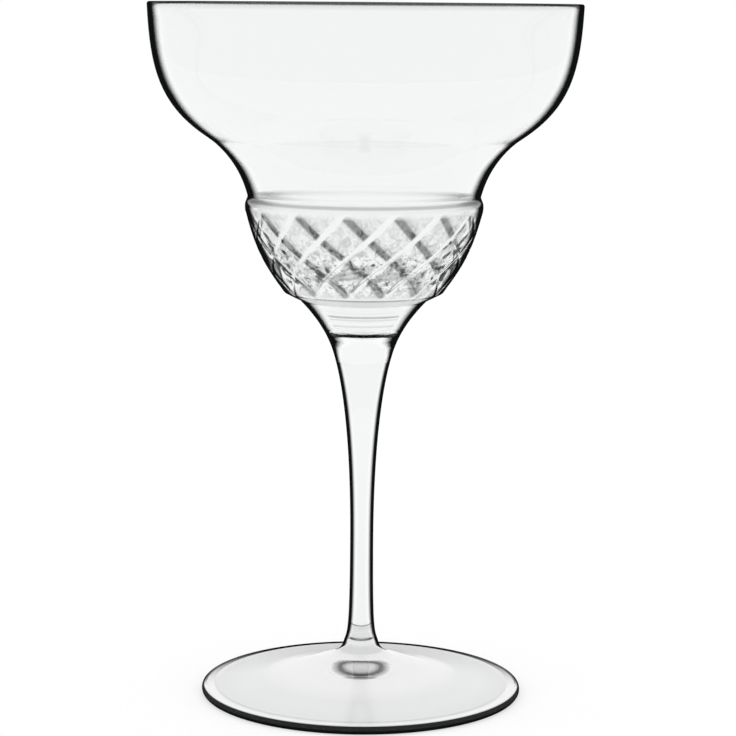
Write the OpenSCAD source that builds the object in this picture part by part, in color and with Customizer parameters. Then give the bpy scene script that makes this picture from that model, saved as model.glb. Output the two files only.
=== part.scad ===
// Margarita glass: a wide cup over a smaller lower bowl with a diamond-cut band, a drawn stem
// and a disc foot. Sizes are millimetres and angles are degrees. The foot stands on Z = 0 and the
// glass's axis is Z. The glass is three gathers of hot glass fused end to end: foot, stem and bowl.

/* [Heights] */
// Height of the foot, up to the narrow neck that the stem stands on
foot_h = 13; // [11:0.5:18]
// Length of the stem between the foot's neck and the bowl's seat
stem_h = 75; // [60:0.5:110]
// Height of the bowl from its seat to the rim
bowl_h = 92; // [88:0.5:104]

/* [Cup] */
// Outer radius of the rim
rim_r = 55.5; // [46:0.1:64]
// Height of the wide cup, from the neck above the band to the rim
cup_h = 49.1; // [40:0.1:51]
// Thickness of the cup's wall
cup_wall = 1.3; // [1:0.05:1.8]
// Outer radius of the neck between the cup and the band
neck_r = 30; // [27:0.1:30.5]

/* [Diamond band] */
// Outer radius of the band along its top edge
band_r = 31; // [30.8:0.1:33]
// Outer radius of the band along its bottom edge
band_base_r = 20.7; // [18:0.1:24]
// Height of the band between those edges
band_h = 22.4; // [18:0.1:25]
// Height of the step from the neck out to the band's top edge
shoulder_h = 2.3; // [1.6:0.1:3]
// Thickness of the glass behind the band's top edge
band_wall = 2.4; // [2:0.05:3]
// Thickness of the glass behind the band's bottom edge
base_wall = 4.2; // [2.6:0.05:5]
// Diamonds around the glass
diamonds = 15; // [11:1:20]
// Rows of crossing grooves down the band
rows = 4; // [3:1:6]
// Width of a groove
groove_w = 1.5; // [0.8:0.05:1.8]
// Depth of a groove
groove_d = 0.6; // [0.3:0.05:0.8]
// Turn of the pattern about the axis, from the front towards the right
band_turn = 14.3; // [0:0.1:24]
// Width of the sloping tuck from the band's bottom edge in to the funnel
tuck_w = 4.2; // [2:0.1:6]
// Height of the tuck
tuck_h = 2.2; // [1:0.1:4]

/* [Floor of the bowl] */
// Height of the cavity's lowest point above the bowl's seat
floor_h = 6.6; // [5:0.1:8]
// Rise of the domed seat where the stem's crown meets the bowl
seat_rise = 1.8; // [1.2:0.1:3]

/* [Stem] */
// Radius of the stem where it meets the bowl
stem_top_r = 7.1; // [6:0.1:8.5]
// Radius of the stem at its waist
waist_r = 3.03; // [2.5:0.01:4]
// Height of the waist above the foot's neck
waist_h = 28; // [20:0.5:40]

/* [Foot] */
// Outer radius of the foot
foot_r = 41.9; // [34:0.1:48]
// Radius of the foot's neck, where the stem stands
foot_neck_r = 4.64; // [4:0.01:6]
// Thickness of the foot at its rounded edge
edge_t = 2.4; // [1.8:0.1:3]
// Width of the flat ring that the glass stands on
rest_w = 2.6; // [1.5:0.1:4]
// Rise of the hollow underside from the ring to the dimple
hollow_h = 0.3; // [0.2:0.1:2]
// Radius of the dimple in the middle of the underside
dimple_r = 6.8; // [5:0.1:9]
// Depth of the dimple
dimple_h = 0.8; // [0.5:0.1:3]

/* [Hidden] */
// Facets around the glass, and steps along each curve of its outline
$fn = 96;
steps = 14;

// Heights of the joints and edges above the table
seat_z = foot_h + stem_h;
rim_z = seat_z + bowl_h;
neck_z = rim_z - cup_h;
band_z = neck_z - shoulder_h;
base_z = band_z - band_h;
floor_z = seat_z + floor_h;
waist_z = foot_h + waist_h;

// Lean of each curve from upright where it leaves or arrives, outwards as it climbs
rim_lean = 2.6;
flare_lean = 57.3;
neck_lean = 13.7;
band_lean = 15;
base_lean = 36;
floor_lean = 46;
funnel_lean = 44.5;
seat_lean = 15;
foot_lean = -15.3;
slope_lean = -70;
edge_lean = -87;

// The cup's outline turns from hollow to round at these shares of its widening and of its height
flare_share = [0.392, 0.3];
// Pulls of the cup's two curves, as shares of its height, from the rim down
cup_pull_share = [0.322, 0.308, 0.05, 0.179];
// Pulls of the band's curve and of the funnel's two ends, as shares of their heights
band_pull_share = 0.482;
funnel_pull_share = [0.64, 0.2];
// Pulls of the stem's curves, as shares of its length above and below the waist
upper_pull_share = [0.133, 0.578];
lower_pull_share = [0.979, 0.126];
// The foot's outline eases from its neck into a slope at these shares of its radius and height
slope_share = [0.3, 0.63];
// Pulls of the foot's curves, as shares of its radius, from the neck out
foot_pull_share = [0.076, 0.084, 0.26, 0.33];
// The cavity's floor curve: pull at the band, as a share of the floor's depth, and at the axis
floor_pull_share = [1.1, 0.65];
// Share of the way from the dimple out to the ring over which the hollow underside runs level
level_share = 0.8;

// Glass under the grooves of the diamond ring, and how deep the ring is buried in the wall
backing = 0.3;
bury = 0.5;
// Drop and step inwards from the band's bottom edge to the plain wall under it
ledge_drop = 0.3;
ledge_step = 0.4;

// Point of a curve from p to s with pulls towards q and r, at share t of the way
function bend(p, q, r, s, t) =
    pow(1 - t, 3) * p + 3 * t * pow(1 - t, 2) * q + 3 * t * t * (1 - t) * r + pow(t, 3) * s;

// Point at distance l from p, in a direction that leans outwards from upright by angle a
function leaning(p, a, l) = p + l * [sin(a), cos(a)];

// Points of a curve that goes down from p at lean a, with pull u, to s at lean b, with pull v
function sweep(p, a, u, s, b, v) =
    [for (i = [0:steps]) bend(p, leaning(p, a, -u), leaning(s, b, v), s, i / steps)];

// Points on a circle about c of radius r, from angle a to angle b
function arc(c, r, a, b) = [for (i = [0:steps]) c + r * [cos(a + (b - a) * i / steps), sin(a + (b - a) * i / steps)]];

// The points of an outline moved inwards by a wall that grows from w0 to w1 along it
function inset(pts, w0, w1) = let (n = len(pts) - 1) [
    for (i = [0:n])
        let (d = pts[min(i + 1, n)] - pts[max(i - 1, 0)])
            pts[i] + (w0 + (w1 - w0) * i / n) * [d[1], -d[0]] / norm(d)
];

// Outline of the outside of the cup, from the rim's rounded lip down to the neck
lip_r = cup_wall / 2;
rim = [rim_r, rim_z - lip_r];
neck = [neck_r, neck_z];
flare = neck + [flare_share[0] * (rim_r - neck_r), flare_share[1] * cup_h];
cup_out = concat(
    sweep(rim, rim_lean, cup_pull_share[0] * cup_h, flare, flare_lean, cup_pull_share[1] * cup_h),
    sweep(flare, flare_lean, cup_pull_share[2] * cup_h, neck, neck_lean, cup_pull_share[3] * cup_h)
);

// Outline of the band over its diamonds, where row line 0 is the top edge and the last the bottom
band_top = [band_r, band_z];
band_base = [band_base_r, base_z];
function band_at(k) = bend(
    band_top, leaning(band_top, band_lean, -band_pull_share * band_h),
    leaning(band_base, base_lean, band_pull_share * band_h), band_base, k / rows
);
// Lean of the band at row line k, from a short chord of its outline
chord = 0.01;
function band_lean_at(k) = let (d = band_at(k - chord) - band_at(k + chord)) atan2(d[0], d[1]);
// Point of the band's outline at row line k, sunk into the glass by d
function band_in(k, d) = band_at(k) + d * [-cos(band_lean_at(k)), sin(band_lean_at(k))];

// The plain wall behind the diamonds, the tuck under it and the funnel from there down to the seat
core_d = groove_d + backing;
core = [for (i = [0:steps]) band_in(rows * i / steps, core_d)];
ledge = band_base - [ledge_step, ledge_drop];
funnel_top = band_base - [tuck_w, tuck_h];
funnel_h = funnel_top[1] - seat_z;
seat = [stem_top_r, seat_z];
funnel = sweep(funnel_top, funnel_lean, funnel_pull_share[0] * funnel_h,
    seat, seat_lean, funnel_pull_share[1] * funnel_h);

// Crown of the stem, a shallow dome from the seat's edge up to the axis
crown_r = (stem_top_r * stem_top_r + seat_rise * seat_rise) / (2 * seat_rise);
crown_a = asin(stem_top_r / crown_r);
crown = arc([0, seat_z + seat_rise - crown_r], crown_r, 90 - crown_a, 90);

// Outline of the cavity, from the rim down to its floor
band_line = [for (i = [0:steps]) band_at(rows * i / steps)];
band_inner = inset(band_line, band_wall, base_wall);
cavity_base = band_inner[steps];
floor_d = cavity_base[1] - floor_z;
cavity = concat(
    inset(cup_out, cup_wall, (cup_wall + band_wall) / 2),
    band_inner,
    sweep(cavity_base, floor_lean, floor_pull_share[0] * floor_d,
        [0, floor_z], 90, floor_pull_share[1] * cavity_base[0])
);
lip = arc([rim_r - lip_r, rim_z - lip_r], lip_r, 180, 0);

// Half a diamond's angle, and the share of a diamond on row line k that stands between its grooves
half_a = 180 / diamonds;
row_run = norm(band_top - band_base) / rows;
function land_share(k) =
    let (w = band_at(k)[0] * sin(half_a)) 1 - groove_w / 2 * norm([w, row_run]) / (w * row_run);

// Point of the ring at angle a from the pattern's start, on row line k, sunk by d
function on_band(a, k, d) =
    let (p = band_in(k, d), t = a + band_turn) [p[0] * sin(t), -p[0] * cos(t), p[1]];
// Point of the ring's buried inner side at angle a, on row line k
function buried(a, k) =
    let (
        p = k == 0 ? neck - [bury, 0] : k == rows ? ledge - [2 * bury, 0] : band_in(k, core_d + bury),
        t = a + band_turn
    ) [p[0] * sin(t), -p[0] * cos(t), p[1]];

// A diamond's points as shares of its half width and row height: its four corners and the middles
// of its sides, clockwise from the right as seen from outside, and then its centre
diamond_shares = [
    [1, 0], [0.5, 0.5], [0, 1], [-0.5, 0.5], [-1, 0], [-0.5, -0.5], [0, -1], [0.5, -0.5], [0, 0]
];
// Sides that the diamond on row line k has: the top and bottom edges carry only half diamonds
function sides(k) = k == 0 ? [0, 1] : k == rows ? [2, 3] : [0:3];
// Angle of the middle of diamond i on row line k, in half diamonds
function middle(i, k) = 2 * i + 1 + k % 2;

// Places in the ring's list of points: groove crossings, then diamonds, then the buried side
function wrap(i, n) = (i % n + n) % n;
function crossing_at(h, k) = k * diamonds + wrap((h - k % 2) / 2, diamonds);
function diamond_at(i, k, q) = (rows + 1) * diamonds + (k * diamonds + i) * 9 + q % 8;
function centre_at(i, k) = (rows + 1) * diamonds + (k * diamonds + i) * 9 + 8;
function buried_at(h, k) = (rows + 1) * diamonds * 10 + k * 2 * diamonds + wrap(h, 2 * diamonds);
// Crossing at corner c of diamond i on row line k, where 0 is right, 1 bottom, 2 left and 3 top
function corner_at(i, k, c) = crossing_at(middle(i, k) + [1, 0, -1, 0][c % 4], k + [0, 1, 0, -1][c % 4]);

ring_points = concat(
    [for (k = [0:rows], i = [0:diamonds - 1]) on_band((2 * i + k % 2) * half_a, k, groove_d)],
    [for (k = [0:rows], i = [0:diamonds - 1], s = diamond_shares)
        on_band((middle(i, k) + s[0] * land_share(k)) * half_a, min(max(k + s[1] * land_share(k), 0), rows), 0)],
    [for (k = [0:rows], h = [0:2 * diamonds - 1]) buried(h * half_a, k)]
);

// Faces of one side of a diamond: its part of the land, then its wall down to the groove
function side_faces(i, k, c) = let (
    a = diamond_at(i, k, 2 * c), m = diamond_at(i, k, 2 * c + 1), b = diamond_at(i, k, 2 * c + 2),
    o = centre_at(i, k), p = corner_at(i, k, c), q = corner_at(i, k, c + 1)
) [[o, a, m], [o, m, b], [a, p, m], [m, p, q], [m, q, b]];

// Faces that close the ring along its top edge, above diamond i, and along its bottom edge
function top_faces(i) = let (
    h = middle(i, 0), o = centre_at(i, 0), l = diamond_at(i, 0, 4), r = diamond_at(i, 0, 0),
    p = buried_at(h - 1, 0), q = buried_at(h, 0), s = buried_at(h + 1, 0)
) [[l, crossing_at(h - 1, 0), p], [q, l, p], [o, l, q], [r, o, q], [s, r, q], [crossing_at(h + 1, 0), r, s]];
function base_faces(i) = let (
    h = middle(i, rows), o = centre_at(i, rows), l = diamond_at(i, rows, 4), r = diamond_at(i, rows, 0),
    p = buried_at(h - 1, rows), q = buried_at(h, rows), s = buried_at(h + 1, rows)
) [[crossing_at(h - 1, rows), l, p], [l, q, p], [l, o, q], [o, r, q], [r, s, q], [r, crossing_at(h + 1, rows), s]];
// Faces of the buried side between row lines k and k + 1
function buried_faces(h, k) = let (p = buried_at(h, k), q = buried_at(h + 1, k + 1))
    [[buried_at(h + 1, k), p, q], [q, p, buried_at(h, k + 1)]];

ring_faces = concat(
    [for (k = [0:rows], i = [0:diamonds - 1], c = sides(k), f = side_faces(i, k, c)) f],
    [for (i = [0:diamonds - 1], f = top_faces(i)) f],
    [for (i = [0:diamonds - 1], f = base_faces(i)) f],
    [for (k = [0:rows - 1], h = [0:2 * diamonds - 1], f = buried_faces(h, k)) f]
);

// Ring of diamonds that stands on the plain wall of the lower bowl
module diamond_ring() {
    polyhedron(ring_points, ring_faces);
}

// Bowl: wide cup, banded lower bowl and funnel, seated on the stem's crown
module bowl() {
    color([0.93, 0.95, 0.95, 0.45]) union() {
        rotate_extrude() polygon(concat(
            crown, [for (i = [len(cavity) - 1:-1:0]) cavity[i]], lip, cup_out, core, [ledge], funnel
        ));
        diamond_ring();
    }
}

// Stem: solid drawn glass, waisted low down, with a domed crown
waist = [waist_r, waist_z];
foot_neck = [foot_neck_r, foot_h];
upper_h = seat_z - waist_z;
stem_line = concat(
    sweep(seat, seat_lean, upper_pull_share[0] * upper_h, waist, 0, upper_pull_share[1] * upper_h),
    sweep(waist, 0, lower_pull_share[0] * waist_h, foot_neck, foot_lean, lower_pull_share[1] * waist_h)
);
module stem() {
    color([0.93, 0.95, 0.95, 0.45]) rotate_extrude() polygon(concat(
        [for (i = [steps:-1:0]) crown[i]], stem_line, [[0, foot_h]]
    ));
}

// Foot: disc with a rounded edge, eased up to the stem, hollow underneath with a dimple
edge_r = edge_t / 2;
slope = [slope_share[0] * foot_r, slope_share[1] * foot_h];
edge_top = [foot_r - edge_r, edge_t];
ring_in = foot_r - edge_r - rest_w;
foot_line = concat(
    sweep(foot_neck, foot_lean, foot_pull_share[0] * foot_r, slope, slope_lean, foot_pull_share[1] * foot_r),
    sweep(slope, slope_lean, foot_pull_share[2] * foot_r, edge_top, edge_lean, foot_pull_share[3] * foot_r),
    arc([foot_r - edge_r, edge_r], edge_r, 90, -90)
);
dome_r = (dimple_r * dimple_r + dimple_h * dimple_h) / (2 * dimple_h);
dome_a = asin(dimple_r / dome_r);
underside = concat(
    sweep([ring_in, 0], 90, 0, [dimple_r, hollow_h], 90, level_share * (ring_in - dimple_r)),
    arc([0, hollow_h + dimple_h - dome_r], dome_r, 90 - dome_a, 90)
);
module foot() {
    color([0.93, 0.95, 0.95, 0.45]) rotate_extrude() polygon(concat([[0, foot_h]], foot_line, underside));
}

bowl();
stem();
foot();
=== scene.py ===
"""A clear margarita glass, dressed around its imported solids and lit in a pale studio."""

import logging
import math
from dataclasses import dataclass
from enum import Enum
from typing import Callable

import bpy
import numpy as np
from mathutils import Euler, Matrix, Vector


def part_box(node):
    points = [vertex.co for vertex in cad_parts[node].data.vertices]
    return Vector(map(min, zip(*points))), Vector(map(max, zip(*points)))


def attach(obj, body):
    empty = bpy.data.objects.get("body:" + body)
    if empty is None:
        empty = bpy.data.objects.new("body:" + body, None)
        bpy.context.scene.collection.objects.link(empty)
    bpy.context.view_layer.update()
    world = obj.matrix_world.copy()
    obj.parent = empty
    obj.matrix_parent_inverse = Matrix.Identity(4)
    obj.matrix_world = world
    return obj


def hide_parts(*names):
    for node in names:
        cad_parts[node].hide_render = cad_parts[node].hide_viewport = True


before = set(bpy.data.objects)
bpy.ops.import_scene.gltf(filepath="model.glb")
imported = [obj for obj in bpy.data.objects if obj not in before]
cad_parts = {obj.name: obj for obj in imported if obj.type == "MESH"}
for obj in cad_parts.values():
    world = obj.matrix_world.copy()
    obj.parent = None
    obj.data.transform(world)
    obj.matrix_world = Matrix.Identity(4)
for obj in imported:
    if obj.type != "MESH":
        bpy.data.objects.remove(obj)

MM = 0.001
POLE_R = 1e-6
WHITE = (1, 1, 1, 1)
LOG = logging.getLogger("margarita_glass")


class Face(Enum):
    """Kinds of face on a gather of glass, by their material slot.

    POLISHED faces bend light. FUSED ones let it straight through: the seams, and the foot's hollow underside,
    which lies within a hair of the floor.
    """

    POLISHED = 0
    FUSED = 1


class Layer(Enum):
    """What each point of the glass says about its painted light and shade and its finish, and what it says
    where nothing is set.

    The first is the tint of painted light and shade, from -1 for painted shade through 0 for plain to 1 for a
    painted highlight. EDGE is the width of the painted dark line along edges, as a share of the glass's own.
    SHADE is a share of painted shade, BUSY the strength of the random flecks, GRAZE the least reach of the
    painted dark line, the next a share of painted shade for flat angles of sight, standing in for a dim
    reflection, and HAZE a share of the glass's own roughness.
    """

    CUT = ("cut", 0.0)
    EDGE = ("edge", 1.0)
    SHADE = ("shade", 0.0)
    BUSY = ("busy", 0.0)
    GRAZE = ("graze", 0.0)
    VEIL = ("painted_flat_shade", 0.0)
    HAZE = ("haze", 0.0)

    def __init__(self, label: str, plain: float) -> None:
        """Keeps the attribute's name and its plain value."""
        self.label = label
        self.plain = plain


REACH_LABEL = "turn_away"
PaintedLightAndFinish = dict[Layer, np.ndarray | float]


def leaning(point: np.ndarray, lean: float, length: float) -> np.ndarray:
    """Finds the point at a distance from another, in a direction that leans out from upright.

    Args:
        point: Radius and height of the first point.
        lean: Lean from upright in degrees, positive where the radius grows upwards.
        length: Distance to go, negative to go down.

    Returns:
        Radius and height of the point found.
    """
    angle = math.radians(lean)
    return np.asarray(point, float) + length * np.array([math.sin(angle), math.cos(angle)])


def bend(points: list, share: np.ndarray) -> np.ndarray:
    """Evaluates a cubic curve.

    Args:
        points: Its start, its two pulls and its end, as radius and height.
        share: Shares of the way along it.

    Returns:
        One row of radius and height for each share.
    """
    start, pull_a, pull_b, end = (np.asarray(p, float) for p in points)
    t = np.asarray(share, float)[:, None]
    return (1 - t) ** 3 * start + 3 * t * (1 - t) ** 2 * pull_a + 3 * t * t * (1 - t) * pull_b + t ** 3 * end


def arc(centre: tuple, radius: float, start: float, end: float, steps: int) -> np.ndarray:
    """Draws an arc in the outline's plane.

    Args:
        centre: Radius and height of its centre.
        radius: Radius of the arc itself.
        start: Angle of its first point in degrees, from outwards towards up.
        end: Angle of its last point in degrees.
        steps: Number of steps along it.

    Returns:
        One row of radius and height for each step, both ends included.
    """
    angles = np.radians(np.linspace(start, end, steps + 1))
    return np.asarray(centre, float) + radius * np.column_stack([np.cos(angles), np.sin(angles)])


def dome(edge_r: float, base_z: float, rise: float, steps: int) -> np.ndarray:
    """Draws a shallow dome.

    Args:
        edge_r: Radius of its edge.
        base_z: Height of its edge.
        rise: Height of its middle over its edge.
        steps: Number of steps along it.

    Returns:
        One row of radius and height for each step, from the edge to the axis.
    """
    radius = (edge_r ** 2 + rise ** 2) / (2 * rise)
    spread = math.degrees(math.asin(edge_r / radius))
    line = arc((0, base_z + rise - radius), radius, 90 - spread, 90, steps)
    line[-1, 0] = 0
    return line


def inset(outline: np.ndarray, wall_a: float, wall_b: float) -> np.ndarray:
    """Moves a downward outline inwards by the thickness of a wall.

    Args:
        outline: Rows of radius and height, from the top down.
        wall_a: Thickness at its first point.
        wall_b: Thickness at its last point.

    Returns:
        The moved rows.
    """
    step = np.diff(outline, axis=0)
    step /= np.linalg.norm(step, axis=1)[:, None]
    run = np.vstack([step[:1], step[:-1] + step[1:], step[-1:]])
    run /= np.linalg.norm(run, axis=1)[:, None]
    wall = np.linspace(wall_a, wall_b, len(outline))[:, None]
    return outline + wall * np.column_stack([run[:, 1], -run[:, 0]])


def eased(share: np.ndarray) -> np.ndarray:
    """Eases shares from 0 to 1 at both ends."""
    return share * share * (3 - 2 * share)


@dataclass(frozen=True)
class Swing:
    """A curve that goes down from one point to another with given leans, in degrees from upright."""

    lean_a: float
    pull_a: float
    lean_b: float
    pull_b: float
    steps: int

    def draw(self, start: tuple, end: tuple, length_a: float, length_b: float | None = None) -> np.ndarray:
        """Draws it between two points.

        Args:
            start: Radius and height of the upper point.
            end: Radius and height of the lower point.
            length_a: Length that the pull at the upper point is a share of.
            length_b: The same for the lower point, where it isn't the same length.

        Returns:
            One row of radius and height for each step, both ends included.
        """
        length_b = length_a if length_b is None else length_b
        pulls = [start, leaning(start, self.lean_a, -self.pull_a * length_a),
                 leaning(end, self.lean_b, self.pull_b * length_b), end]
        return bend(pulls, np.linspace(0, 1, self.steps + 1))


@dataclass(frozen=True)
class Profile:
    """A value that changes in straight runs between a few places."""

    places: tuple
    values: tuple

    def at(self, where: np.ndarray) -> np.ndarray:
        """Evaluates it, with its end values beyond its first and last place."""
        return np.interp(where, self.places, self.values)


@dataclass(frozen=True)
class Stripe:
    """A value that is full up to one distance from its middle and eases to nothing at another."""

    middle: float
    full: float
    none: float
    strength: float = 1.0

    def at(self, where: np.ndarray) -> np.ndarray:
        """Evaluates it at places on both sides of its middle."""
        off = np.abs(where - self.middle)
        return self.strength * eased(np.clip((self.none - off) / (self.none - self.full), 0, 1))


@dataclass(frozen=True)
class Ripple:
    """Two waves that cross, each with its radians around, its radians down and its start."""

    height: float
    first: tuple
    second: tuple

    def at(self, angle: np.ndarray, down: float) -> np.ndarray:
        """Evaluates it.

        Args:
            angle: Angles about the axis, in radians.
            down: Share of the way down.

        Returns:
            Its height at each angle.
        """
        wave_a, wave_b = (np.sin(around * angle + fall * down + start)
                          for around, fall, start in (self.first, self.second))
        return self.height * wave_a * wave_b


class Bench:
    """Adds nodes to one material and wires them up."""

    def __init__(self, name: str) -> None:
        """Starts a material with its usual shader and output."""
        self.material = bpy.data.materials.new(name)
        self.material.use_nodes = True
        self.tree = self.material.node_tree

    def add(self, kind: str, values: dict | None = None, **fields: object) -> bpy.types.Node:
        """Adds a node.

        Args:
            kind: Type of the node, without its common first word.
            values: Values for its sockets, by name or number.
            **fields: Values for its own properties.

        Returns:
            The new node.
        """
        node = self.tree.nodes.new("ShaderNode" + kind)
        for field, value in fields.items():
            setattr(node, field, value)
        for socket, value in (values or {}).items():
            node.inputs[socket].default_value = value
        return node

    def wire(self, source: bpy.types.NodeSocket, target: bpy.types.NodeSocket) -> None:
        """Links an output to an input."""
        self.tree.links.new(source, target)

    def layer(self, label: str) -> bpy.types.NodeSocket:
        """Reads one of the mesh's layers."""
        return self.add("Attribute", attribute_name=label).outputs["Fac"]

    def cosine(self) -> bpy.types.NodeSocket:
        """Reads the cosine of the angle at which the surface is seen, 0 where it is edge on."""
        return self.sum_of("SUBTRACT", 1, self.add("LayerWeight").outputs["Facing"])

    def sum_of(self, how: str, *terms: bpy.types.NodeSocket | float) -> bpy.types.NodeSocket:
        """Does one sum.

        Args:
            how: Name of the operation.
            *terms: Numbers, or outputs that hold them.

        Returns:
            The output with the answer.
        """
        node = self.add("Math", operation=how)
        for place, term in enumerate(terms):
            if isinstance(term, (int, float)):
                node.inputs[place].default_value = term
            else:
                self.wire(term, node.inputs[place])
        return node.outputs[0]

    def fade(self, value: bpy.types.NodeSocket, full: float, none: float) -> bpy.types.NodeSocket:
        """Eases a value from 1 to 0.

        Args:
            value: Output that holds it.
            full: Value at which the answer is still 1.
            none: Value from which on it is 0.

        Returns:
            The output with the answer.
        """
        node = self.add("MapRange", {"From Min": full, "From Max": none, "To Min": 1, "To Max": 0},
                        interpolation_type="SMOOTHSTEP")
        self.wire(value, node.inputs["Value"])
        return node.outputs["Result"]

    def finish(self, shader: bpy.types.Node) -> bpy.types.Material:
        """Makes a shader the material's surface.

        Args:
            shader: Node of the shader.

        Returns:
            The finished material.
        """
        usual = self.tree.nodes["Principled BSDF"]
        self.wire(shader.outputs[0], self.tree.nodes["Material Output"].inputs["Surface"])
        if not usual.outputs[0].is_linked:
            self.tree.nodes.remove(usual)
        return self.material


@dataclass(frozen=True)
class ClearGlass:
    """Clear soda glass, with a painted dark line where it turns away, a painted highlight just inside, and
    the painted light and shade that its points carry.

    edge_w and core_w are the widths of the painted dark line along an edge and of its blackest part, in
    millimetres across the line of sight, and the highlight width is where the painted highlight line ends, as
    a share of the dark one's reach. The dark line thins on glass that faces up or down. index is the
    refractive index, and through is how much of its painted light and shade the glass shows from behind.
    """

    name: str
    tint: tuple = (0.942, 0.951, 0.951)
    # Colours of painted shade: the dim end of the tint and the dark matt shader.
    dim: tuple = (0.012, 0.013, 0.013)
    dark: tuple = (0.005, 0.006, 0.006)
    index: float = 1.5
    gloss_tint: float = 0.15
    haze: float = 0.0
    edge_w: float = 2.2
    core_w: float = 0.9
    painted_highlight_w: float = 1.13
    least_round: float = 0.5
    reach_span: tuple = (0.0001, 0.7)
    thin_from: float = 0.86
    thin_to: tuple = (0.93, 0.97)
    thin_left: tuple = (0.09, 0.03)
    through: float = 0.2
    painted_flat_shade_to: float = 0.0
    ripple: float = 0.01
    fleck: float = 0.0
    fleck_scale: float = 520.0
    fleck_detail: float = 3.0
    fleck_rough: float = 0.6
    fleck_twist: float = 1.2
    fleck_span: tuple = (0.36, 0.64)

    def reach(self, radius: np.ndarray, rise: np.ndarray, edge: np.ndarray) -> np.ndarray:
        """Works out how far round the painted dark line along the glass's edges reaches.

        Args:
            radius: Distance of each point from the axis.
            rise: How far up or down it faces, from 0 for sideways to nearly 1.
            edge: What it says in the layer of that name.

        Returns:
            For each point, the cosine of the angle of sight up to which it is dark.
        """
        roundness = np.maximum(radius, self.least_round) / np.sqrt(1 - rise ** 2)
        share = np.clip(self.edge_w * edge / roundness, *self.reach_span)
        return np.sqrt(2 * share - share * share) * np.interp(
            rise, (self.thin_from, *self.thin_to), (1, *self.thin_left))

    def material(self) -> bpy.types.Material:
        """Makes the glass's material.

        Returns:
            The new material.
        """
        bench = Bench(self.name)
        shader = bench.tree.nodes["Principled BSDF"]
        for socket, value in (("Roughness", 0), ("IOR", self.index), ("Transmission Weight", 1),
                              ("Specular Tint", (self.gloss_tint, self.gloss_tint, self.gloss_tint, 1))):
            shader.inputs[socket].default_value = value
        if self.haze:
            bench.wire(bench.sum_of("MULTIPLY", bench.layer(Layer.HAZE.label), self.haze),
                       shader.inputs["Roughness"])
        share = bench.sum_of("DIVIDE", bench.cosine(), bench.layer(REACH_LABEL))
        bench.wire(self.colour(bench, share), shader.inputs["Base Color"])
        # Painted shade: the glass goes dark where it turns away from sight.
        edge = bench.fade(share, math.sqrt(self.core_w / self.edge_w), 1)
        darkness = bench.sum_of("MAXIMUM", edge, bench.layer(Layer.SHADE.label))
        if self.painted_flat_shade_to:
            painted_flat_shade = bench.sum_of("MULTIPLY", bench.fade(bench.cosine(), 0, self.painted_flat_shade_to),
                                bench.layer(Layer.VEIL.label))
            darkness = bench.sum_of("MAXIMUM", darkness, painted_flat_shade)
        # The painted shade is a dark matt shader, mixed in at the dark line, the shade layer and flat angles.
        matt = bench.add("BsdfDiffuse", {"Color": (*self.dark, 1)})
        mix = bench.add("MixShader")
        for place, source in enumerate((darkness, shader.outputs[0], matt.outputs[0])):
            bench.wire(source, mix.inputs[place])
        return bench.finish(mix)

    def colour(self, bench: Bench, share: bpy.types.NodeSocket) -> bpy.types.NodeSocket:
        """Works out the tint from the painted light and shade, the random flecks and the painted highlight
        along edges.

        Args:
            bench: Nodes of the material.
            share: Output with 0 where the glass is seen edge on and 1 where the painted dark line ends.

        Returns:
            The output with the colour.
        """
        noise = bench.add("TexNoise", {"Scale": self.fleck_scale, "Detail": self.fleck_detail,
                                       "Roughness": self.fleck_rough, "Distortion": self.fleck_twist})
        bench.wire(bench.add("TexCoord").outputs["Object"], noise.inputs["Vector"])
        low, high = self.fleck_span
        speck = bench.add("MapRange", {"From Min": low, "From Max": high, "To Min": -1, "To Max": 1})
        bench.wire(noise.outputs["Fac"], speck.inputs["Value"])
        strength = bench.sum_of("MULTIPLY_ADD", bench.layer(Layer.BUSY.label), self.fleck, self.ripple)
        marks = bench.sum_of("MULTIPLY_ADD", speck.outputs["Result"], strength, bench.layer(Layer.CUT.label))
        inside = bench.add("NewGeometry").outputs["Backfacing"]
        kept = bench.sum_of("SUBTRACT", 1, bench.sum_of("MULTIPLY", inside, 1 - self.through))
        plain = 0.5
        # The ramp runs from painted shade through the glass's tint to a painted highlight.
        ramp = bench.add("ValToRGB")
        ramp.color_ramp.elements[0].color = (*self.dim, 1)
        ramp.color_ramp.elements[1].color = WHITE
        ramp.color_ramp.elements.new(plain).color = (*self.tint, 1)
        bench.wire(bench.sum_of("MULTIPLY_ADD", bench.sum_of("MULTIPLY", marks, kept), 1 - plain, plain),
                   ramp.inputs["Fac"])
        # Painted highlight: white just inside the painted dark line.
        light = bench.add("Mix", {"B": WHITE}, data_type="RGBA")
        bench.wire(bench.fade(share, 1, self.painted_highlight_w), light.inputs["Factor"])
        bench.wire(ramp.outputs["Color"], light.inputs["A"])
        return light.outputs["Result"]


@dataclass(frozen=True)
class FusedSeam:
    """A face that light passes as if it weren't there, as where two gathers of glass run into one."""

    name: str = "fused_seam"

    def material(self) -> bpy.types.Material:
        """Makes the seam's material."""
        bench = Bench(self.name)
        return bench.finish(bench.add("BsdfTransparent"))


@dataclass(frozen=True)
class PaleFloor:
    """A matt white floor with a little light of its own, so that the glass throws only a faint shadow."""

    name: str = "pale_floor"
    lit: float = 0.45
    glow: float = 0.57

    def material(self) -> bpy.types.Material:
        """Makes the floor's material.

        Returns:
            The new material.
        """
        bench = Bench(self.name)
        both = bench.add("AddShader")
        for place, (kind, grey) in enumerate((("BsdfDiffuse", self.lit), ("Emission", self.glow))):
            bench.wire(bench.add(kind, {"Color": (grey, grey, grey, 1)}).outputs[0], both.inputs[place])
        return bench.finish(both)


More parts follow.
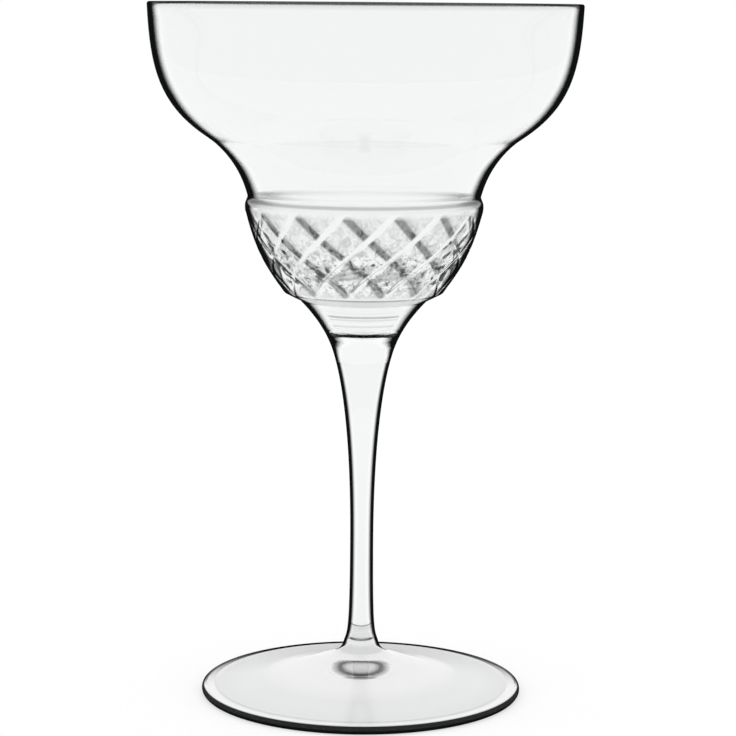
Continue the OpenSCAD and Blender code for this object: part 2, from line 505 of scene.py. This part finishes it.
class GlassMesh:
    """The points and faces of one closed gather of glass, gathered ring by ring."""

    SEAM_WEIGHT = 1e-6
    MOST_RISE = 0.9999

    def __init__(self) -> None:
        """Starts with no points and no faces."""
        self.points: list[np.ndarray] = []
        self.layers: dict[Layer, list[np.ndarray]] = {layer: [] for layer in Layer}
        self.faces: list[list[int]] = []
        self.slots: list[int] = []
        self.count = 0

    def add(self, points: np.ndarray, finish: PaintedLightAndFinish | None = None) -> np.ndarray:
        """Adds points.

        Args:
            points: Rows of X, Y and Z in millimetres.
            finish: What they say in each layer, where that isn't plain.

        Returns:
            Their places in the mesh.
        """
        points = np.atleast_2d(points)
        self.points.append(points)
        for layer, rows in self.layers.items():
            value = (finish or {}).get(layer, layer.plain)
            rows.append(np.broadcast_to(np.asarray(value, float), len(points)))
        self.count += len(points)
        return np.arange(self.count - len(points), self.count)

    def ring(self, radius: np.ndarray, height: np.ndarray, turn: np.ndarray,
             finish: PaintedLightAndFinish | None = None) -> np.ndarray:
        """Adds one ring of points about the axis.

        Args:
            radius: Radius of each point, or of all of them.
            height: Height of each point, or of all of them.
            turn: Angle of each point in degrees, from the front towards the right.
            finish: What they say in each layer, as for add.

        Returns:
            Their places in the mesh.
        """
        angle = np.radians(turn)
        level = np.broadcast_to(height, len(angle))
        return self.add(np.column_stack([radius * np.sin(angle), -radius * np.cos(angle), level]), finish)

    def line_of(self, ring: np.ndarray) -> tuple[np.ndarray, np.ndarray]:
        """Reads a ring back.

        Args:
            ring: Places of its points.

        Returns:
            Radius and height of each point.
        """
        points = np.vstack(self.points)[ring]
        return np.hypot(points[:, 0], points[:, 1]), points[:, 2]

    def cover(self, corners: list[np.ndarray], face: Face = Face.POLISHED) -> None:
        """Adds one face for each place along a ring.

        Args:
            corners: Places of the faces' first corners, of their second ones, and so on.
            face: Kind of the faces.
        """
        self.faces += np.column_stack(corners).tolist()
        self.slots += [face.value] * len(corners[0])

    def strip(self, upper: np.ndarray, lower: np.ndarray, face: Face = Face.POLISHED) -> None:
        """Joins two rings with faces that look away from the glass. A ring of one point is a pole.

        Args:
            upper: Places of the ring that comes first on the way down the outside.
            lower: Places of the ring after it.
            face: Kind of the faces.
        """
        beside_upper, beside_lower = np.roll(upper, -1), np.roll(lower, -1)
        if len(upper) == 1:
            self.cover([np.repeat(upper, len(lower)), lower, beside_lower], face)
        elif len(lower) == 1:
            self.cover([upper, np.repeat(lower, len(upper)), beside_upper], face)
        else:
            self.cover([upper, lower, beside_lower, beside_upper], face)

    def lathe(self, outline: np.ndarray, turn: np.ndarray, face: Face = Face.POLISHED,
              start: np.ndarray | None = None, finish: PaintedLightAndFinish | None = None,
              wave: Callable[[np.ndarray, float], np.ndarray] | None = None) -> np.ndarray:
        """Turns an outline about the axis, from its first point on.

        Args:
            outline: Rows of radius and height. A radius of zero makes a pole.
            turn: Angles of the points of each ring, in degrees.
            face: Kind of the faces.
            start: Places of a ring that stands for the outline's first point.
            finish: What the outline's points say in each layer, one value for all or for each.
            wave: Adds to the radius, from the angles of a ring's points and its height.

        Returns:
            Places of the last ring.
        """
        along = {layer: np.broadcast_to(np.asarray(value, float), len(outline))
                 for layer, value in (finish or {}).items()}
        last = start
        for i, (radius, height) in enumerate(outline):
            if i == 0 and start is not None:
                continue
            said = {layer: float(value[i]) for layer, value in along.items()}
            if radius < POLE_R:
                here = self.add(np.array([0, 0, height]), said)
            else:
                here = self.ring(radius + (wave(turn, height) if wave else 0), height, turn, said)
            if last is not None:
                self.strip(last, here, face)
            last = here
        return last

    def reaches(self, mesh: bpy.types.Mesh, glass: ClearGlass) -> np.ndarray:
        """Works out the reach of the painted dark line at each point, from the way that the polished faces
        look.

        Args:
            mesh: The mesh made of these points.
            glass: The glass, with its painted light and shade.

        Returns:
            For each point, the cosine of the angle of sight up to which it is dark.
        """
        sizes = [len(face) for face in self.faces]
        facing = np.empty(len(mesh.polygons) * 3, np.float32)
        mesh.polygons.foreach_get("normal", facing)
        area = np.empty(len(mesh.polygons), np.float32)
        mesh.polygons.foreach_get("area", area)
        weight = area * np.where(np.array(self.slots) == Face.POLISHED.value, 1, self.SEAM_WEIGHT)
        normals = np.zeros((self.count, 3))
        np.add.at(normals, np.concatenate(self.faces),
                  np.repeat(facing.reshape(-1, 3) * weight[:, None], sizes, axis=0))
        normals /= np.linalg.norm(normals, axis=1)[:, None]
        rise = np.clip(np.abs(normals[:, 2]), 0, self.MOST_RISE)
        radius, _ = self.line_of(np.arange(self.count))
        reach = glass.reach(radius, rise, np.concatenate(self.layers[Layer.EDGE]))
        return np.maximum(reach, np.concatenate(self.layers[Layer.GRAZE]))

    def borders(self, mesh: bpy.types.Mesh) -> np.ndarray:
        """Finds the edges where two kinds of face meet.

        Args:
            mesh: The mesh made of these faces.

        Returns:
            For each edge, whether it is such a border.
        """
        loops = np.empty(len(mesh.loops), np.int32)
        mesh.loops.foreach_get("edge_index", loops)
        slots = np.repeat(self.slots, [len(face) for face in self.faces])
        lowest, highest = np.full(len(mesh.edges), len(Face)), np.full(len(mesh.edges), -1)
        np.minimum.at(lowest, loops, slots)
        np.maximum.at(highest, loops, slots)
        return lowest != highest

    def build(self, name: str, glass: ClearGlass, seam: bpy.types.Material) -> bpy.types.Object:
        """Makes the piece.

        Args:
            name: Name of the piece.
            glass: Glass of its polished faces, with its painted light and shade.
            seam: Material of its fused faces.

        Returns:
            The new object, smooth but for the borders between its kinds of face.
        """
        mesh = bpy.data.meshes.new(name)
        mesh.from_pydata((np.vstack(self.points) * MM).tolist(), [], self.faces)
        for material in (glass.material(), seam):
            mesh.materials.append(material)
        mesh.polygons.foreach_set("material_index", self.slots)
        mesh.polygons.foreach_set("use_smooth", [True] * len(self.faces))
        mesh.update()
        mesh.attributes.new("sharp_edge", "BOOLEAN", "EDGE").data.foreach_set("value", self.borders(mesh))
        values = {REACH_LABEL: self.reaches(mesh, glass)}
        values.update({layer.label: np.concatenate(rows) for layer, rows in self.layers.items()})
        for label, value in values.items():
            mesh.attributes.new(label, "FLOAT", "POINT").data.foreach_set("value", value.astype(np.float32))
        piece = bpy.data.objects.new(name, mesh)
        bpy.context.scene.collection.objects.link(piece)
        return piece


@dataclass
class DiamondBand:
    """The lower bowl's band of crossing grooves.

    Lengths are millimetres and leans degrees from upright. Places across the grooves are counted in widths
    of a diamond, rows from the top edge down, and the profiles along the rows in shares of all of them.
    slant is how much longer the outline is than the band is high. The grooves that rise to the right carry a
    painted highlight, and those that fall to the right are bars of painted shade. The glass between them
    carries painted shade, more beside a bar, with a dark hook of painted shade in a corner of each diamond.
    """

    top_r: float = 31.0
    base_r: float = 20.7
    top_z: float = 128.6
    height: float = 22.4
    diamonds: int = 15
    rows: int = 4
    slant: float = 1.1
    turn: float = 14.3
    top_lean: float = 15
    base_lean: float = 36
    pull_share: float = 0.482
    round_d: float = 0.35
    round_share: float = 0.25
    groove_w: float = 2.4
    groove_d: float = 0.14
    groove_fade: float = 0.7
    side_shares: tuple = (0, 0.012, 0.024, 0.038, 0.052, 0.066, 0.08, 0.094, 0.11, 0.15, 0.22, 0.31, 0.4)
    slope_step: float = 0.01
    # Painted highlight along the grooves that rise to the right.
    painted_gleam: Stripe = Stripe(0, 0.2, 1.05)
    gleam_down: Profile = Profile((0, 0.4, 0.7, 1), (0.85, 0.65, 0.4, 0.35))
    # Painted shade: dark bars along the grooves that fall to the right.
    bar: Stripe = Stripe(0, 0.6, 1.7)
    bar_across: Profile = Profile((0, 0.3, 1), (1, 0.9, 1))
    bar_down: Profile = Profile((0.6, 1), (1, 0.85))
    # Painted shade on the glass between the grooves, more beside a bar.
    grey: float = 0.24
    painted_side_shade: Profile = Profile((0, 0.8, 2.8), (0.34, 0.34, 0))
    # Painted shade: a dark hook in a corner of each diamond.
    hook: Stripe = Stripe(-1.25, 0.15, 0.5, 0.45)
    hook_run: float = 0.45
    top_fade: tuple = (0.04, 0.16)
    base_fade: tuple = (0.03, 0.06)
    edge: float = 1.15
    haze_down: Profile = Profile((0, 0.5, 1), (0.4, 0.3, 0.15))
    busy_down: Profile = Profile((0, 0.1, 0.42, 0.55, 0.85, 1), (0, 0.2, 0.4, 1, 0.8, 0))
    bar_calm: float = 0.75

    def __post_init__(self) -> None:
        """Works out the steps across one diamond, close together at its grooves."""
        half = np.array(self.side_shares)
        self.shares = np.concatenate([half, [0.5], 1 - half[:0:-1]])
        self.steps = len(self.shares)
        self.around = self.diamonds * self.steps

    def place(self, index: np.ndarray) -> np.ndarray:
        """Finds the places of fine steps across the grooves, numbered from one groove."""
        return np.floor_divide(index, self.steps) + self.shares[np.mod(index, self.steps)]

    def angle(self, places: np.ndarray) -> np.ndarray:
        """Turns the sums of places across both families of grooves into angles in degrees."""
        return places * (180 / self.diamonds) + self.turn

    def turns(self, row: float) -> np.ndarray:
        """Finds the angles of the fine steps around one row line, in degrees."""
        return self.angle(2 * self.place(np.arange(self.around)) - row)

    def at(self, row: np.ndarray) -> np.ndarray:
        """Evaluates the band's outline.

        Args:
            row: Row lines, from 0 at the top edge down.

        Returns:
            Rows of radius and height.
        """
        top, base = (self.top_r, self.top_z), (self.base_r, self.top_z - self.height)
        pull = self.pull_share * self.height
        pulls = [top, leaning(top, self.top_lean, -pull), leaning(base, self.base_lean, pull), base]
        line = bend(pulls, row / self.rows)
        line[:, 0] -= self.round_d * np.clip(1 - row / self.round_share, 0, 1) ** 2
        return line

    def off_line(self, place: np.ndarray, row: np.ndarray) -> np.ndarray:
        """Works out how far points lie from the nearest groove of one family.

        Args:
            place: Places across that family.
            row: Row lines of the same points.

        Returns:
            Signed distances in millimetres.
        """
        width = self.at(row)[:, 0] * math.radians(360 / self.diamonds)
        run = 2 * self.height * self.slant / self.rows
        return (place - np.round(place)) * width * run / np.hypot(width, run)

    def groove(self, off: np.ndarray) -> np.ndarray:
        """Works out how deep a groove cuts at distances from its middle, with soft edges."""
        share = np.clip(np.abs(off) / (self.groove_w / 2), 0, 1)
        return self.groove_d * (0.5 + 0.5 * np.cos(math.pi * share))

    def cut(self, across: np.ndarray, along: np.ndarray) -> np.ndarray:
        """Works out the painted highlights and painted shade along the crossing grooves.

        Args:
            across: Places across the grooves that rise to the right.
            along: Places across the grooves that fall to the right.

        Returns:
            Values from -1, painted shade, to 1, painted highlight.
        """
        row = across - along
        down = row / self.rows
        off_rise, off_fall = self.off_line(across, row), self.off_line(along, row)
        # Painted highlight on one family of grooves, painted shade on bars, beside them and in hooks.
        painted_gleam = self.painted_gleam.at(off_rise) * self.gleam_down.at(down)
        bar = self.bar.at(off_fall) * self.bar_across.at(np.mod(across, 1)) * self.bar_down.at(down)
        side = self.painted_side_shade.at(off_fall) * (off_fall > 0)
        before = np.round(along) - along
        hook = self.hook.at(off_rise) * np.clip(1 - before / self.hook_run, 0, 1) * (before >= 0)
        dim = np.maximum(np.maximum(bar, self.grey + side), hook)
        (top, top_run), (base, base_run) = self.top_fade, self.base_fade
        inside = np.clip((row - top) / top_run, 0, 1) * np.clip((self.rows - base - row) / base_run, 0, 1)
        return (painted_gleam - dim * (1 - painted_gleam)) * inside

    def ring(self, mesh: GlassMesh, step: int) -> np.ndarray:
        """Adds one fine ring of the band to a mesh.

        Args:
            mesh: Mesh of the bowl.
            step: Number of the ring, from 0 at the top edge down.

        Returns:
            Places of its points.
        """
        first = np.arange(self.around)
        across, along = self.place(first), self.place(first - step)
        row = across - along
        off_fall = self.off_line(along, row)
        depth = np.maximum(self.groove(self.off_line(across, row)), self.groove(off_fall))
        depth *= eased(np.clip(row / self.groove_fade, 0, 1))
        line = self.at(row)
        run = self.at(row - self.slope_step) - self.at(row + self.slope_step)
        run /= np.linalg.norm(run, axis=1)[:, None]
        line += depth[:, None] * np.column_stack([-run[:, 1], run[:, 0]])
        return mesh.ring(line[:, 0], line[:, 1], self.angle(across + along), {
            Layer.CUT: self.cut(across, along),
            Layer.HAZE: self.haze_down.at(row / self.rows),
            Layer.EDGE: self.edge,
            Layer.BUSY: self.busy_down.at(row / self.rows) * (1 - self.bar_calm * self.bar.at(off_fall)),
        })

    def rings(self, mesh: GlassMesh) -> tuple[np.ndarray, np.ndarray]:
        """Adds the band to a mesh, between its top and bottom edges.

        Args:
            mesh: Mesh of the bowl.

        Returns:
            Places of the points of the top edge and of the bottom edge.
        """
        down = self.rows * self.steps
        grid = [self.ring(mesh, step) for step in range(down + 1)]
        for step, here in enumerate(grid):
            above = grid[step - 1] if step else None
            below = np.roll(grid[step + 1], -1) if step < down else None
            mesh.cover([c for c in (here, below, np.roll(here, -1), above) if c is not None])
        return grid[0], grid[down]


@dataclass
class Gather:
    """One gather of glass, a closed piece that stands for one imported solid."""

    glass: ClearGlass

    def mesh(self) -> GlassMesh:
        """Builds the gather's closed surface."""
        raise NotImplementedError

    def dress(self, node: str, seam: bpy.types.Material) -> bpy.types.Object:
        """Makes the piece and puts it in its solid's place.

        Args:
            node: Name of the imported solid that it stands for.
            seam: Material of the faces that are fused to another gather.

        Returns:
            The finished piece.
        """
        mesh = self.mesh()
        piece = mesh.build(f"{node}_glass", self.glass, seam)
        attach(piece, "root")
        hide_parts(node)
        LOG.info("%s: %d points, %d faces", piece.name, mesh.count, len(mesh.faces))
        return piece


@dataclass
class Bowl(Gather):
    """Wide cup, banded lower bowl and funnel, blown as one.

    Lengths are millimetres. Stripes and profiles run up from the rim, the neck, the band's bottom edge or the
    seat, as their names say, but rim_down_edge runs down in shares of the cup's height, and the ripple down
    in shares of the band's. The swings' pulls are shares of the height of the cup, floor or funnel.
    """

    rim_r: float
    rim_z: float
    seat_z: float
    band: DiamondBand
    cup_h: float = 49.1
    cup_wall: float = 1.3
    band_wall: float = 2.4
    base_wall: float = 4.2
    neck_r: float = 30.0
    flare_shares: tuple = (0.392, 0.3)
    cup_swing: Swing = Swing(2.6, 0.322, 57.3, 0.308, 40)
    flare_swing: Swing = Swing(57.3, 0.05, 13.7, 0.179, 24)
    cup_passes: int = 4
    lip_steps: int = 12
    shoulder_steps: int = 16
    floor_h: float = 6.6
    floor_swing: Swing = Swing(46, 1.1, 90, 0.65, 60)
    behind_steps: int = 40
    ledge: tuple = (0.4, 0.3)
    tuck: tuple = (4.2, 2.2)
    tuck_steps: int = 8
    funnel_swing: Swing = Swing(44.5, 0.64, 15, 0.2, 120)
    seat_r: float = 7.1
    seat_rise: float = 1.8
    seat_steps: int = 14
    # Widths of the painted dark line along edges, inside the bowl and down the cup.
    inner_edge: float = 0.03
    rim_down_edge: Profile = Profile((0, 0.08, 0.47, 0.53, 0.6, 0.66, 0.72, 0.78, 0.85, 0.91, 0.97),
                                     (1.2, 1.4, 1.4, 1.25, 1.04, 0.85, 0.68, 0.9, 1.2, 1.33, 1.5))
    # Painted shade: a dark line along the rim.
    rim_shade: Stripe = Stripe(-0.1, 0.2, 0.6, 0.85)
    # Painted shade: a dark line just below the neck.
    neck_line: Stripe = Stripe(-0.9, 0.2, 0.65, -0.6)
    shoulder_edge: tuple = (1.3, 0.9)
    shoulder_haze: float = 0.9
    # Painted shade: a dark line just below the band's bottom edge.
    base_line: Stripe = Stripe(-0.3, 0.1, 0.5, -0.8)
    tuck_haze: float = 0.4
    # Painted shade on the funnel: a slight darkening near the seat and three dark lines above it.
    seat_painted_shade: tuple = (Stripe(0, 5.8, 6.6, -0.035), Stripe(12.9, 0.14, 0.42, -0.7),
                         Stripe(12.1, 0.08, 0.32, -0.35), Stripe(10.3, 0.1, 0.4, -0.35))
    seat_up_edge: Profile = Profile((0, 2, 4, 5.6, 6.8, 7.4, 9, 17),
                                    (0.6, 0.65, 0.85, 1.5, 1.5, 0.8, 0.85, 0.95))
    ripple: Stripe = Stripe(0.6, 0.15, 0.5, 0.07)
    ripple_end: float = 1.15
    ripples: tuple = (Ripple(1, (15, 19, 0), (15, -17, math.pi / 2)), Ripple(0.6, (22, 31, 1), (9, -23, 0)))

    @property
    def neck_z(self) -> float:
        """Height of the cup's narrow lower end."""
        return self.rim_z - self.cup_h

    def crown(self) -> np.ndarray:
        """Draws the domed seat, from its edge to the axis."""
        return dome(self.seat_r, self.seat_z, self.seat_rise, self.seat_steps)

    def cup(self) -> np.ndarray:
        """Draws the outside of the cup.

        Returns:
            Rows of radius and height from the rim's lip down to the neck.
        """
        rim = (self.rim_r, self.rim_z - self.cup_wall / 2)
        neck = (self.neck_r, self.neck_z)
        out, up = self.flare_shares
        flare = (neck[0] + out * (rim[0] - neck[0]), neck[1] + up * self.cup_h)
        line = np.vstack([self.cup_swing.draw(rim, flare, self.cup_h),
                          self.flare_swing.draw(flare, neck, self.cup_h)[1:]])
        for _ in range(self.cup_passes):
            line[1:-1] = (line[:-2] + 2 * line[1:-1] + line[2:]) / 4
        return line

    def cavity(self) -> np.ndarray:
        """Draws the inside of the bowl.

        Returns:
            Rows of radius and height from the floor's middle up to the rim.
        """
        rows = np.linspace(0, self.band.rows, self.behind_steps + 1)
        behind = inset(self.band.at(rows), self.band_wall, self.base_wall)
        floor_z, base = self.seat_z + self.floor_h, behind[-1]
        floor = self.floor_swing.draw(base, (0, floor_z), base[1] - floor_z, base[0])
        floor[-1, 0] = 0
        cup = inset(self.cup(), self.cup_wall, (self.cup_wall + self.band_wall) / 2)
        return np.vstack([cup, behind, floor[1:]])[::-1]

    def funnel(self) -> tuple[np.ndarray, float]:
        """Draws the outside of the bowl's base.

        Returns:
            Rows of radius and height from the band's bottom edge down to the seat, and the height at which
            the funnel itself starts.
        """
        base = np.array([self.band.base_r, self.band.top_z - self.band.height])
        top = base - self.tuck
        swing = self.funnel_swing.draw(top, (self.seat_r, self.seat_z), top[1] - self.seat_z)
        tuck = np.linspace(base - self.ledge, top, self.tuck_steps + 1)[:-1]
        return np.vstack([[base], tuck, swing]), top[1]

    def mesh(self) -> GlassMesh:
        """Builds the bowl's closed surface.

        Returns:
            The mesh, not yet an object.
        """
        mesh = GlassMesh()
        top, bottom = self.band.rings(mesh)
        turn = self.band.turns(0)
        lip_r, cavity = self.cup_wall / 2, self.cavity()
        lip = arc((self.rim_r - lip_r, self.rim_z - lip_r), lip_r, 180, 0, self.lip_steps)[1:-1]
        wall = np.vstack([cavity, lip, self.cup()])
        down = (self.rim_z - wall[:, 1]) / self.cup_h
        inner = np.arange(len(wall)) < len(cavity)
        last = mesh.lathe(wall, turn, wave=self.wave, finish={
            Layer.EDGE: np.where(inner, self.inner_edge, self.rim_down_edge.at(down)),
            Layer.SHADE: self.rim_shade.at(wall[:, 1] - self.rim_z),
        })
        self.shoulder(mesh, last, top, turn)
        turn = self.band.turns(self.band.rows)
        funnel, tuck_z = self.funnel()
        up = funnel[:, 1] - self.seat_z
        # The funnel gets painted shade: dark lines and a slight darkening near the seat.
        last = mesh.lathe(funnel, turn, start=bottom, finish={
            Layer.CUT: sum((tint.at(up) for tint in self.seat_painted_shade), self.base_line.at(up - up[0])),
            Layer.EDGE: self.seat_up_edge.at(up),
            Layer.HAZE: np.clip((funnel[:, 1] - tuck_z + self.tuck_haze) / self.tuck_haze, 0, 1),
        })
        mesh.lathe(self.crown(), turn, Face.FUSED, start=last)
        return mesh

    def shoulder(self, mesh: GlassMesh, last: np.ndarray, top: np.ndarray, turn: np.ndarray) -> None:
        """Joins the cup's neck to the band's top edge.

        Args:
            mesh: Mesh of the bowl.
            last: Places of the neck's ring.
            top: Places of the points of the band's top edge.
            turn: Angles of the points of each ring, in degrees.
        """
        (r_a, z_a), (r_b, z_b) = mesh.line_of(last), mesh.line_of(top)
        full, lost = self.shoulder_edge
        for share in np.linspace(0, 1, self.shoulder_steps + 1)[1:]:
            height = z_a + (z_b - z_a) * share
            here = top if share == 1 else mesh.ring(r_a + (r_b - r_a) * eased(share), height, turn, {
                Layer.CUT: self.neck_line.at(np.mean(height) - self.neck_z),
                Layer.HAZE: self.shoulder_haze,
                Layer.EDGE: full - lost * math.sin(math.pi * share),
            })
            mesh.strip(last, here)
            last = here

    def wave(self, turn: np.ndarray, height: float) -> np.ndarray:
        """Works out how the bowl's inside ripples behind the band, as pressed glass does.

        Args:
            turn: Angles of a ring's points in degrees.
            height: Height of the ring.

        Returns:
            What to add to the radius of each point.
        """
        angle, down = np.radians(turn), (self.band.top_z - height) / self.band.height
        if not 0 <= down <= self.ripple_end:
            return np.zeros(len(turn))
        return self.ripple.at(down) * sum(ripple.at(angle, down) for ripple in self.ripples)


@dataclass
class Stem(Gather):
    """Solid drawn stem with a domed crown.

    Lengths are millimetres. The tint, darker towards the bottom, runs down from the crown's edge in shares of
    that edge's height, the width of the painted dark line along the sides down from it in millimetres, and
    the dim ring's middle is its height above the floor.
    """

    crown: np.ndarray
    base_z: float
    waist_r: float = 3.03
    waist_h: float = 28
    base_r: float = 4.64
    upper_swing: Swing = Swing(15, 0.133, 0, 0.578, 60)
    lower_swing: Swing = Swing(0, 0.979, -15.3, 0.126, 30)
    sides: int = 180
    # Darker towards the bottom.
    tint: Profile = Profile((0, 0.3, 0.6, 0.8), (0, -0.01, -0.035, -0.02))
    ring: Stripe = Stripe(15.6, 0.4, 1.4, -0.12)
    # Width of the painted dark line along the sides.
    edge: Profile = Profile((0, 6, 12, 68, 73), (0.9, 0.95, 1, 1, 0.82))

    def mesh(self) -> GlassMesh:
        """Builds the stem's closed surface.

        Returns:
            The mesh, not yet an object.
        """
        top, waist = tuple(self.crown[0]), (self.waist_r, self.base_z + self.waist_h)
        base = (self.base_r, self.base_z)
        side = np.vstack([self.upper_swing.draw(top, waist, top[1] - waist[1]),
                          self.lower_swing.draw(waist, base, self.waist_h)[1:]])
        down = top[1] - side[:, 1]
        mesh = GlassMesh()
        turn = np.linspace(0, 360, self.sides, endpoint=False)
        last = mesh.lathe(self.crown[::-1], turn, Face.FUSED)
        last = mesh.lathe(side, turn, start=last, finish={
            Layer.CUT: self.tint.at(down / top[1]) + self.ring.at(side[:, 1]),
            Layer.EDGE: self.edge.at(down),
        })
        mesh.lathe(np.array([base, (0, self.base_z)]), turn, Face.FUSED, start=last)
        return mesh


@dataclass
class Foot(Gather):
    """Disc foot with a rounded edge, hollow underneath with a dimple.

    Lengths are millimetres. Stripes and profiles run out from the axis.
    """

    foot_r: float
    top_z: float
    neck_r: float = 4.64
    slope_shares: tuple = (0.3, 0.63)
    neck_swing: Swing = Swing(-15.3, 0.076, -70, 0.084, 24)
    slope_swing: Swing = Swing(-70, 0.26, -87, 0.33, 60)
    edge_t: float = 2.4
    edge_steps: int = 24
    rest_w: float = 2.6
    hollow_h: float = 0.3
    hollow_swing: Swing = Swing(90, 0, 90, 0.8, 40)
    dimple_r: float = 6.8
    dimple_h: float = 0.8
    dimple_steps: int = 16
    sides: int = 240
    # Painted light: bright around the middle, with painted shade close to the neck.
    glow: Profile = Profile((4.7, 5.7, 6.3, 8, 20, 26, 36), (-0.2, -0.3, 0.3, 1, 1, 0.05, -0.04))
    # A dim line of painted shade, and a ring of painted highlight just inside the edge.
    rings: tuple = (Stripe(38.8, 0.1, 0.5, -0.3), Stripe(40.4, 0.3, 0.8))
    # Painted shade on the rounded edge: black underneath and nearly black on its side.
    under_shade: float = 1.0
    side_shade: float = 0.975
    side_span: tuple = (0.62, 0.15)
    # Least reach of the painted dark line near the edge, so that its back shows one too.
    graze: Profile = Profile((38.2, 38.7), (0, 0.28))
    # Painted shade on the top seen at flat angles, standing in for a dim reflection.
    painted_flat_shade: Profile = Profile((24.5, 27, 30, 33, 36, 38), (0, 0.3, 0.45, 0.62, 0.8, 0.9))
    haze: Profile = Profile((14, 19), (0, 1))
    dimple_busy: Profile = Profile((4, 5), (1, 0))
    # Painted shade on the dimple, darkest in a ring.
    dimple_shade: Profile = Profile((0, 3, 4.5, 5.5, 6.8), (0.3, 0.4, 0.97, 0.6, 0.12))

    def upper(self) -> np.ndarray:
        """Draws the top of the foot.

        Returns:
            Rows of radius and height from the neck out and around the edge.
        """
        edge_r = self.edge_t / 2
        out, up = self.slope_shares
        slope, brim = (out * self.foot_r, up * self.top_z), (self.foot_r - edge_r, self.edge_t)
        return np.vstack([
            self.neck_swing.draw((self.neck_r, self.top_z), slope, self.foot_r),
            self.slope_swing.draw(slope, brim, self.foot_r)[1:],
            arc((self.foot_r - edge_r, edge_r), edge_r, 90, -90, self.edge_steps)[1:],
        ])

    def mesh(self) -> GlassMesh:
        """Builds the foot's closed surface.

        Returns:
            The mesh, not yet an object.
        """
        mesh = GlassMesh()
        turn = np.linspace(0, 360, self.sides, endpoint=False)
        last = mesh.lathe(np.array([[0, self.top_z], [self.neck_r, self.top_z]]), turn, Face.FUSED)
        upper = self.upper()
        radius, above = upper[:, 0], upper[:, 1] > self.edge_t / 2
        under = upper[:, 1] < self.edge_t / 2
        side_from, side_run = self.side_span
        side = np.clip((radius - self.foot_r + side_from) / side_run, 0, 1)
        # The top gets painted light and shade, and the rounded edge painted shade.
        last = mesh.lathe(upper, turn, start=last, finish={
            Layer.CUT: np.where(above, self.glow.at(radius) + sum(ring.at(radius) for ring in self.rings), 0),
            Layer.SHADE: np.where(under, self.under_shade, self.side_shade * side),
            Layer.GRAZE: self.graze.at(radius),
            Layer.VEIL: self.painted_flat_shade.at(radius),
            Layer.HAZE: self.haze.at(radius),
        })
        ring_in = self.foot_r - self.edge_t / 2 - self.rest_w
        hollow = self.hollow_swing.draw((ring_in, 0), (self.dimple_r, self.hollow_h), ring_in - self.dimple_r)
        last = mesh.lathe(np.vstack([upper[-1:], hollow]), turn, Face.FUSED, start=last)
        dimple = dome(self.dimple_r, self.hollow_h, self.dimple_h, self.dimple_steps)
        mesh.lathe(dimple, turn, start=last, finish={
            Layer.BUSY: self.dimple_busy.at(dimple[:, 0]),
            Layer.SHADE: self.dimple_shade.at(dimple[:, 0]),
        })
        return mesh


@dataclass
class Studio:
    """Pale floor, soft light from all round and the camera of the photograph.

    Lengths are metres, but the focal length and the sensor's width are millimetres. Angles are degrees.
    """

    floor_r: float = 2.5
    floor_sides: int = 128
    distance: float = 0.64225
    height: float = 0.182
    aside: float = 0.0013
    pitch: float = 8.494
    roll: float = 0.45
    focal: float = 122.3
    sensor_w: float = 36
    clip_from: float = 0.01
    clip_to: float = 100

    def camera(self) -> None:
        """Places the camera where the photograph was taken from."""
        data = bpy.data.cameras.new("camera")
        data.sensor_width = self.sensor_w
        data.lens = self.focal
        data.clip_start, data.clip_end = self.clip_from, self.clip_to
        camera = bpy.data.objects.new("camera", data)
        camera.location = (self.aside, -self.distance, self.height)
        camera.rotation_euler = Euler((math.radians(90 - self.pitch), 0, 0))
        camera.rotation_euler.rotate_axis("Z", math.radians(self.roll))
        bpy.context.scene.collection.objects.link(camera)
        bpy.context.scene.camera = camera

    def world(self) -> None:
        """Lights the glass evenly from a white world."""
        world = bpy.data.worlds.new("studio")
        bpy.context.scene.world = world
        world.use_nodes = True
        world.node_tree.nodes["Background"].inputs["Color"].default_value = WHITE

    def floor(self) -> None:
        """Lays the pale floor that the glass stands on."""
        mesh = bpy.data.meshes.new("floor")
        turn = np.linspace(0, 2 * math.pi, self.floor_sides, endpoint=False)
        points = self.floor_r * np.column_stack([np.cos(turn), np.sin(turn), np.zeros(self.floor_sides)])
        mesh.from_pydata(points.tolist(), [], [list(range(self.floor_sides))])
        mesh.materials.append(PaleFloor().material())
        floor = bpy.data.objects.new("floor", mesh)
        bpy.context.scene.collection.objects.link(floor)


def main() -> None:
    """Builds the glass gather by gather, then the studio around it."""
    logging.basicConfig(level=logging.INFO, format="%(name)s: %(message)s")
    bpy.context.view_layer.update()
    bpy.context.scene.view_settings.view_transform = "Standard"
    bowl_low, bowl_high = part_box("bowl")
    _, foot_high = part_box("foot")
    blown = ClearGlass("bowl_clear", fleck=0.85, haze=0.4, through=0.1)
    drawn = ClearGlass("stem_clear", tint=(0.9, 0.91, 0.91), edge_w=1.5, core_w=0.78, painted_highlight_w=1.12,
                       thin_from=0.35)
    spread = ClearGlass("foot_clear", tint=(0.84, 0.85, 0.85), edge_w=1.15, core_w=0.6, thin_from=0.35,
                        fleck=1, through=1, haze=0.22, gloss_tint=1, painted_flat_shade_to=0.27)
    bowl = Bowl(blown, bowl_high.x / MM, bowl_high.z / MM, bowl_low.z / MM, DiamondBand())
    stem = Stem(drawn, bowl.crown(), foot_high.z / MM)
    foot = Foot(spread, foot_high.x / MM, foot_high.z / MM)
    seam = FusedSeam().material()
    for node, gather in (("bowl", bowl), ("stem", stem), ("foot", foot)):
        gather.dress(node, seam)
    studio = Studio()
    studio.camera()
    studio.world()
    studio.floor()


if __name__ == "__main__":
    main()
